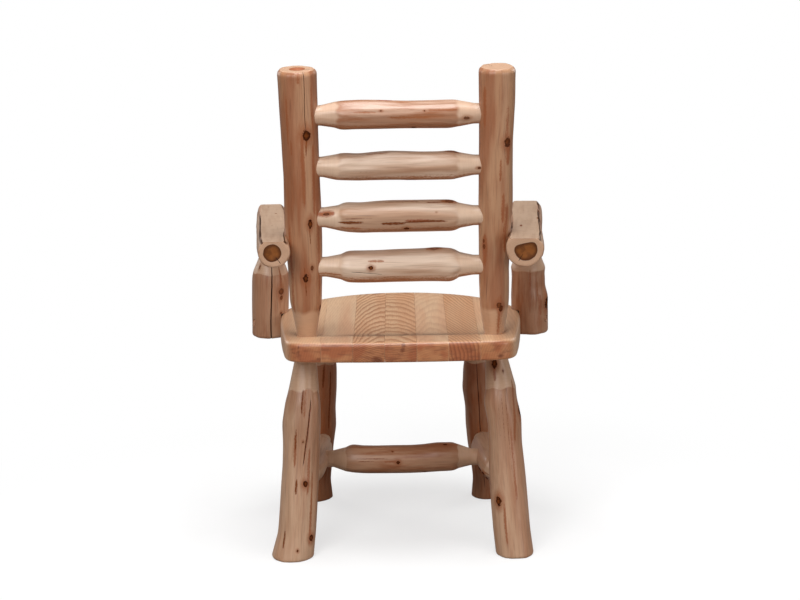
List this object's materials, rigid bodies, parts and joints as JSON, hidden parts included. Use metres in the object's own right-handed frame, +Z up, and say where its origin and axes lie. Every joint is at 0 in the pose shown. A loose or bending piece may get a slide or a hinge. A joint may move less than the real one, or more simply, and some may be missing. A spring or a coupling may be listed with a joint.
{
  "type": "log armchair",
  "caption": "Rustic log armchair: leaning back posts with round slats, a scooped plank seat, flat-topped arms on short supports, and splayed legs with stretchers.",
  "frame": {"origin": "centre of the bounding box, on the floor", "axes": "+Z up, +Y the way the sitter faces, +X the sitter's right"},
  "size_m": [0.6476, 0.5136, 1.0234],
  "materials": {
    "post_wood": "peeled log, satin lacquer, pink-brown",
    "slat_wood": "peeled log, satin lacquer, pale",
    "leg_wood": "peeled log, satin lacquer",
    "stretcher_wood": "peeled log, satin lacquer",
    "arm_wood": "flat-topped peeled log, satin lacquer",
    "support_wood": "peeled log, satin lacquer",
    "seat_wood": "glued and scooped softwood boards, satin lacquer",
    "plug_wood": "face-grain wood plug",
    "screw_steel": "zinc-plated lag screw"
  },
  "bodies": {
    "root": {"seat_board_1": "seat_wood", "seat_board_2": "seat_wood", "seat_board_3": "seat_wood", "seat_board_4": "seat_wood", "seat_board_5": "seat_wood", "seat_board_6": "seat_wood", "seat_board_7": "seat_wood", "back_post_left": "post_wood", "back_post_right": "post_wood", "back_slat_1": "slat_wood", "back_slat_2": "slat_wood", "back_slat_3": "slat_wood", "back_slat_4": "slat_wood", "rear_leg_left": "leg_wood", "rear_leg_right": "leg_wood", "front_leg_left": "leg_wood", "front_leg_right": "leg_wood", "side_stretcher_left": "stretcher_wood", "side_stretcher_right": "stretcher_wood", "cross_stretcher": "stretcher_wood", "arm_left": "arm_wood", "arm_right": "arm_wood", "arm_support_left": "support_wood", "arm_support_right": "support_wood", "lag_screw_arm_left": "screw_steel", "lag_screw_arm_right": "screw_steel", "lag_screw_support_left_rear": "screw_steel", "lag_screw_support_left_front": "screw_steel", "lag_screw_support_right_rear": "screw_steel", "lag_screw_support_right_front": "screw_steel", "plug_arm_left": "plug_wood", "plug_arm_right": "plug_wood", "plug_support_left_rear": "plug_wood", "plug_support_left_front": "plug_wood", "plug_support_right_rear": "plug_wood", "plug_support_right_front": "plug_wood"}
  },
  "joints": []
}
